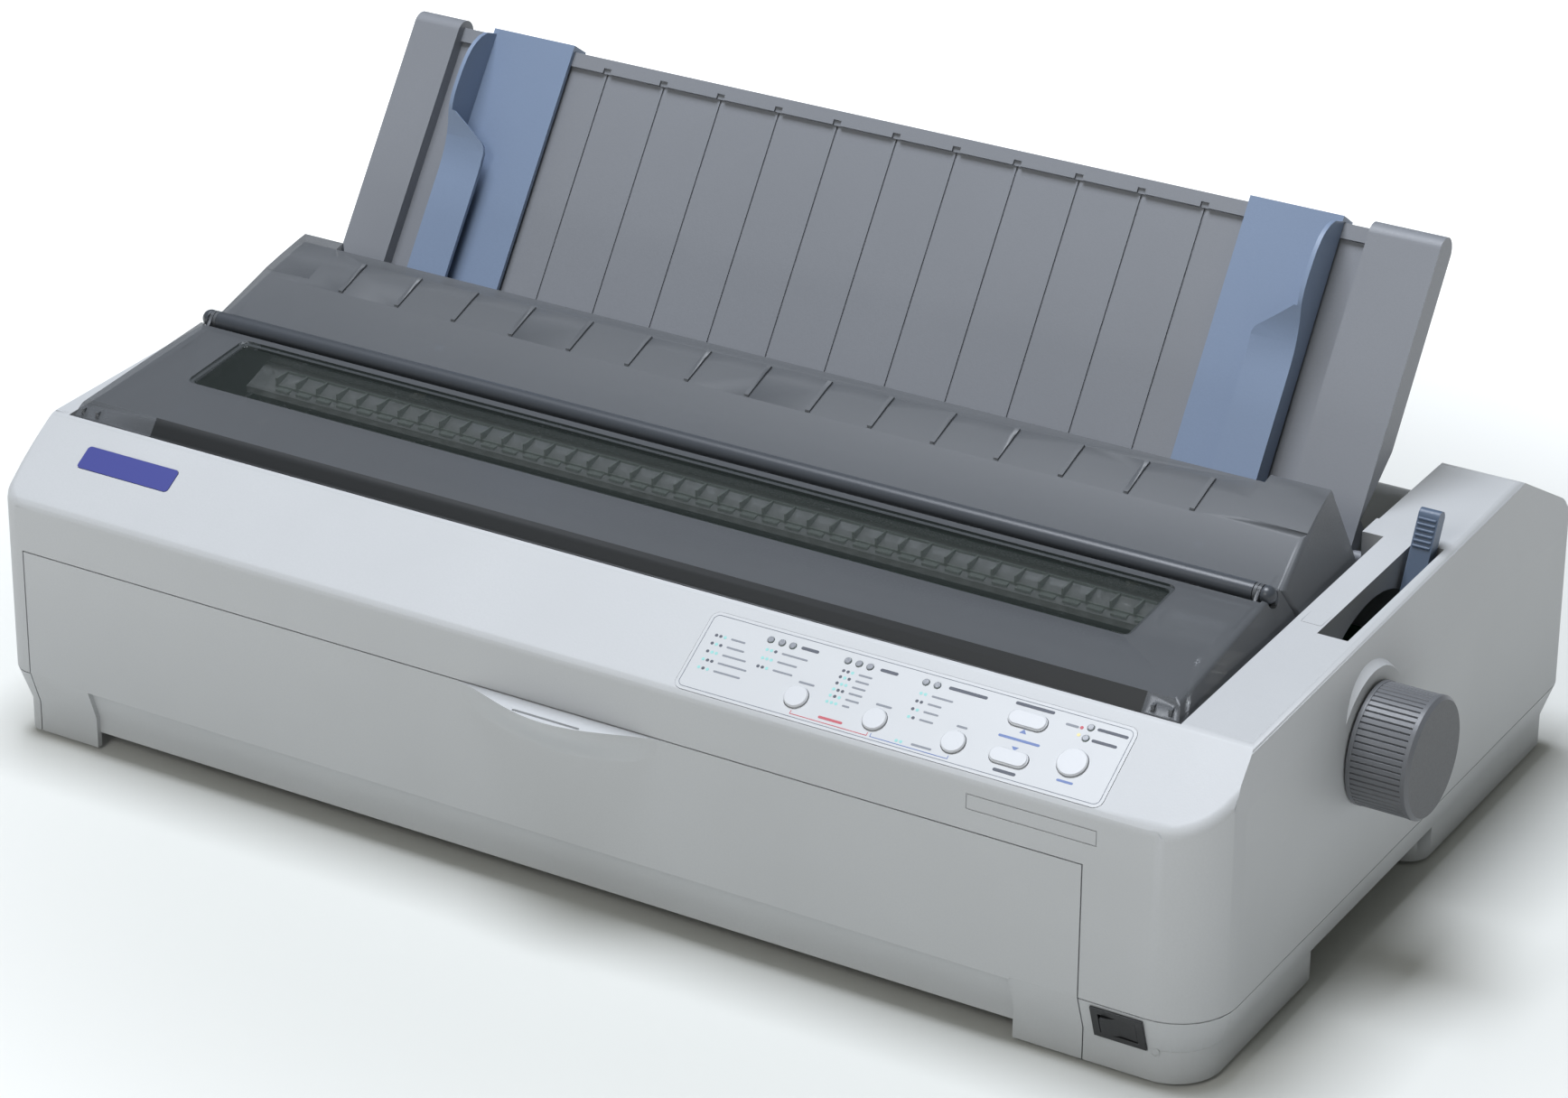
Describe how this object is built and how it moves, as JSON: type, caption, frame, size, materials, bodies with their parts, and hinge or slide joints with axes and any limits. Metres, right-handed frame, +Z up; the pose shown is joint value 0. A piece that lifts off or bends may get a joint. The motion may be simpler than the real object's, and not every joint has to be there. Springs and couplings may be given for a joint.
{
  "type": "wide-carriage dot matrix printer",
  "caption": "Wide desktop impact printer with smoked hinged lid and hood, leaning paper guide with sliding edge guides, drop-down front cover, push tractors and platen knob.",
  "frame": {"origin": "under the middle of the printer's bounding box, on the table that it stands on", "axes": "+X towards the platen knob along the carriage, +Y towards the rear wall, +Z up"},
  "size_m": [0.639, 0.377, 0.2554],
  "materials": {
    "case_plastic": "fine textured light grey moulding",
    "smoke_plastic": "smoked cover moulding, lightly polished",
    "smoke_window": "smoked clear window",
    "guide_plastic": "dark grey matte moulding",
    "guide_blue_plastic": "blue-grey matte moulding",
    "lever_plastic": "blue-grey moulding",
    "overlay_film": "printed film",
    "button_plastic": "off-white buttons",
    "black_plastic": "black moulding",
    "knob_plastic": "dark grey ribbed moulding",
    "gear_plastic": "natural acetal",
    "clear_plastic": "clear moulding",
    "badge_finish": "blue badge plate",
    "platen_rubber": "ground black rubber",
    "foot_rubber": "moulded rubber",
    "steel": "plated steel",
    "board": "green circuit board"
  },
  "bodies": {
    "printer": {"lower_case": "case_plastic", "upper_case": "case_plastic", "control_overlay": "overlay_film", "panel_board": "board", "badge_plate": "badge_finish", "switch_bezel": "black_plastic", "platen_bushings": "gear_plastic", "feed_motor": "steel", "tractor_rod": "steel", "base_frame": "steel", "side_frame_left": "steel", "side_frame_right": "steel", "carriage_shaft": "steel", "carriage_motor": "steel", "timing_belt": "foot_rubber", "ribbon_cartridge": "black_plastic", "tension_unit": "clear_plastic", "main_board": "board", "power_supply": "steel", "rear_connectors": "black_plastic", "rubber_feet": "foot_rubber", "case_screws": "steel"},
    "front_cover": {"front_cover": "case_plastic"},
    "hood": {"hood": "smoke_plastic"},
    "lid": {"lid_frame": "smoke_plastic", "lid_window": "smoke_window"},
    "lid_roller": {"lid_roller": "knob_plastic"},
    "paper_guide": {"paper_guide": "guide_plastic"},
    "edge_guide_left": {"edge_guide_left": "guide_blue_plastic"},
    "edge_guide_right": {"edge_guide_right": "guide_blue_plastic"},
    "platen": {"platen_roller": "platen_rubber", "platen_shaft": "steel", "platen_knob": "knob_plastic", "platen_gear": "gear_plastic"},
    "feed_gear": {"feed_gear": "gear_plastic"},
    "motor_pinion": {"motor_pinion": "steel"},
    "tractor_shaft": {"tractor_shaft": "steel"},
    "tractor_left": {"tractor_left": "black_plastic"},
    "tractor_right": {"tractor_right": "black_plastic"},
    "pin_wheel_left": {"pin_wheel_left": "gear_plastic"},
    "pin_wheel_right": {"pin_wheel_right": "gear_plastic"},
    "tractor_door_left": {"tractor_door_left": "black_plastic"},
    "tractor_door_right": {"tractor_door_right": "black_plastic"},
    "tractor_lock_left": {"tractor_lock_left": "lever_plastic"},
    "tractor_lock_right": {"tractor_lock_right": "lever_plastic"},
    "release_lever": {"release_lever": "lever_plastic"},
    "thickness_lever": {"thickness_lever": "lever_plastic"},
    "power_rocker": {"power_rocker": "black_plastic"},
    "carriage": {"carriage": "black_plastic", "print_head": "black_plastic"},
    "drive_pulley": {"drive_pulley": "steel"},
    "idler_pulley": {"idler_pulley": "gear_plastic"},
    "ribbon_knob": {"ribbon_knob": "gear_plastic"},
    "tension_roller": {"tension_roller": "knob_plastic"},
    "select_button_left": {"select_button_left": "button_plastic"},
    "select_button_middle": {"select_button_middle": "button_plastic"},
    "select_button_right": {"select_button_right": "button_plastic"},
    "load_button": {"load_button": "button_plastic"},
    "feed_button": {"feed_button": "button_plastic"},
    "pause_button": {"pause_button": "button_plastic"}
  },
  "joints": [
    {"name": "front_cover_hinge", "type": "hinge", "parent": "printer", "child": "front_cover", "pos_m": [-0.0292, -0.1635, 0.0112], "axis": [1, 0, 0], "range_deg": [0, 50]},
    {"name": "hood_hinge", "type": "hinge", "parent": "printer", "child": "hood", "pos_m": [-0.0292, 0.0305, 0.137], "axis": [-1, 0, 0], "range_deg": [0, 60]},
    {"name": "lid_hinge", "type": "hinge", "parent": "hood", "child": "lid", "pos_m": [-0.0292, -0.0365, 0.16], "axis": [-1, 0, 0], "range_deg": [0, 95]},
    {"name": "lid_roller_spin", "type": "hinge", "parent": "hood", "child": "lid_roller", "pos_m": [-0.0292, -0.0365, 0.16], "axis": [1, 0, 0], "continuous": true},
    {"name": "paper_guide_hinge", "type": "hinge", "parent": "printer", "child": "paper_guide", "pos_m": [-0.0292, 0.0634, 0.1341], "axis": [-1, 0, 0], "range_deg": [0, 35]},
    {"name": "edge_guide_left_slide", "type": "slide", "parent": "paper_guide", "child": "edge_guide_left", "axis": [1, 0, 0], "range_m": [-0.016, 0.15]},
    {"name": "edge_guide_right_slide", "type": "slide", "parent": "paper_guide", "child": "edge_guide_right", "axis": [1, 0, 0], "range_m": [-0.15, 0.012]},
    {"name": "select_button_left_press", "type": "slide", "parent": "printer", "child": "select_button_left", "axis": [0, 0.5145, -0.8575], "range_m": [0, 0.0012], "stiffness_N_per_m": 300, "springref_m": -0.0004},
    {"name": "select_button_middle_press", "type": "slide", "parent": "printer", "child": "select_button_middle", "axis": [0, 0.5145, -0.8575], "range_m": [0, 0.0012], "stiffness_N_per_m": 300, "springref_m": -0.0004},
    {"name": "select_button_right_press", "type": "slide", "parent": "printer", "child": "select_button_right", "axis": [0, 0.5145, -0.8575], "range_m": [0, 0.0012], "stiffness_N_per_m": 300, "springref_m": -0.0004},
    {"name": "load_button_press", "type": "slide", "parent": "printer", "child": "load_button", "axis": [0, 0.5145, -0.8575], "range_m": [0, 0.0012], "stiffness_N_per_m": 300, "springref_m": -0.0004},
    {"name": "feed_button_press", "type": "slide", "parent": "printer", "child": "feed_button", "axis": [0, 0.5145, -0.8575], "range_m": [0, 0.0012], "stiffness_N_per_m": 300, "springref_m": -0.0004},
    {"name": "pause_button_press", "type": "slide", "parent": "printer", "child": "pause_button", "axis": [0, 0.5145, -0.8575], "range_m": [0, 0.0012], "stiffness_N_per_m": 300, "springref_m": -0.0004},
    {"name": "power_rocker_tilt", "type": "hinge", "parent": "printer", "child": "power_rocker", "pos_m": [0.2495, -0.16914, 0.02516], "axis": [0, -0.326, 0.9454], "range_deg": [-16, 0]},
    {"name": "platen_spin", "type": "hinge", "parent": "printer", "child": "platen", "pos_m": [-0.0195, -0.029, 0.1008], "axis": [1, 0, 0], "continuous": true},
    {"name": "feed_gear_spin", "type": "hinge", "parent": "printer", "child": "feed_gear", "pos_m": [0.2235, -0.011, 0.06962], "axis": [1, 0, 0], "continuous": true},
    {"name": "motor_pinion_spin", "type": "hinge", "parent": "printer", "child": "motor_pinion", "pos_m": [0.2235, 0.001, 0.04884], "axis": [1, 0, 0], "continuous": true},
    {"name": "tractor_shaft_spin", "type": "hinge", "parent": "printer", "child": "tractor_shaft", "pos_m": [-0.0195, 0.00483, 0.11311], "axis": [1, 0, 0], "continuous": true},
    {"name": "tractor_left_slide", "type": "slide", "parent": "printer", "child": "tractor_left", "axis": [1, 0, 0], "range_m": [-0.04, 0.15]},
    {"name": "tractor_right_slide", "type": "slide", "parent": "printer", "child": "tractor_right", "axis": [1, 0, 0], "range_m": [-0.15, 0.03]},
    {"name": "pin_wheel_left_spin", "type": "hinge", "parent": "tractor_left", "child": "pin_wheel_left", "pos_m": [-0.2125, 0.00483, 0.11311], "axis": [1, 0, 0], "continuous": true},
    {"name": "pin_wheel_right_spin", "type": "hinge", "parent": "tractor_right", "child": "pin_wheel_right", "pos_m": [0.1615, 0.00483, 0.11311], "axis": [1, 0, 0], "continuous": true},
    {"name": "tractor_door_left_hinge", "type": "hinge", "parent": "tractor_left", "child": "tractor_door_left", "pos_m": [-0.2211, 0.0085, 0.12904], "axis": [0, -1, 0], "range_deg": [0, 95]},
    {"name": "tractor_door_right_hinge", "type": "hinge", "parent": "tractor_right", "child": "tractor_door_right", "pos_m": [0.1701, 0.0085, 0.12904], "axis": [0, 1, 0], "range_deg": [0, 95]},
    {"name": "tractor_lock_left_hinge", "type": "hinge", "parent": "tractor_left", "child": "tractor_lock_left", "pos_m": [-0.2255, 0.04083, 0.11311], "axis": [1, 0, 0], "range_deg": [0, 35]},
    {"name": "tractor_lock_right_hinge", "type": "hinge", "parent": "tractor_right", "child": "tractor_lock_right", "pos_m": [0.1745, 0.04083, 0.11311], "axis": [1, 0, 0], "range_deg": [0, 35]},
    {"name": "release_lever_hinge", "type": "hinge", "parent": "printer", "child": "release_lever", "pos_m": [0.273, 0.0195, 0.0744], "axis": [1, 0, 0], "range_deg": [0, 55]},
    {"name": "thickness_lever_hinge", "type": "hinge", "parent": "printer", "child": "thickness_lever", "pos_m": [-0.285, -0.0795, 0.072], "axis": [1, 0, 0], "range_deg": [-12, 12]},
    {"name": "carriage_slide", "type": "slide", "parent": "printer", "child": "carriage", "axis": [1, 0, 0], "range_m": [-0.32, 0.06]},
    {"name": "drive_pulley_spin", "type": "hinge", "parent": "printer", "child": "drive_pulley", "pos_m": [0.1945, -0.1055, 0.0585], "axis": [0, 0, 1], "continuous": true},
    {"name": "idler_pulley_spin", "type": "hinge", "parent": "printer", "child": "idler_pulley", "pos_m": [-0.2535, -0.1055, 0.0585], "axis": [0, 0, 1], "continuous": true},
    {"name": "ribbon_knob_spin", "type": "hinge", "parent": "printer", "child": "ribbon_knob", "pos_m": [-0.2275, -0.1075, 0.124], "axis": [0, 0, 1], "continuous": true},
    {"name": "tension_roller_spin", "type": "hinge", "parent": "printer", "child": "tension_roller", "pos_m": [-0.0195, -0.0245, 0.121], "axis": [1, 0, 0], "continuous": true}
  ],
  "couplings": [
    {"joint": "feed_gear_spin", "follows": "platen_spin", "ratio": -1.4},
    {"joint": "motor_pinion_spin", "follows": "platen_spin", "ratio": 2.3333},
    {"joint": "tractor_shaft_spin", "follows": "platen_spin", "ratio": -1.4},
    {"joint": "pin_wheel_left_spin", "follows": "platen_spin", "ratio": -1.4},
    {"joint": "pin_wheel_right_spin", "follows": "platen_spin", "ratio": -1.4},
    {"joint": "drive_pulley_spin", "follows": "carriage_slide", "rad_per_m": -142.86},
    {"joint": "idler_pulley_spin", "follows": "carriage_slide", "rad_per_m": -142.86}
  ]
}
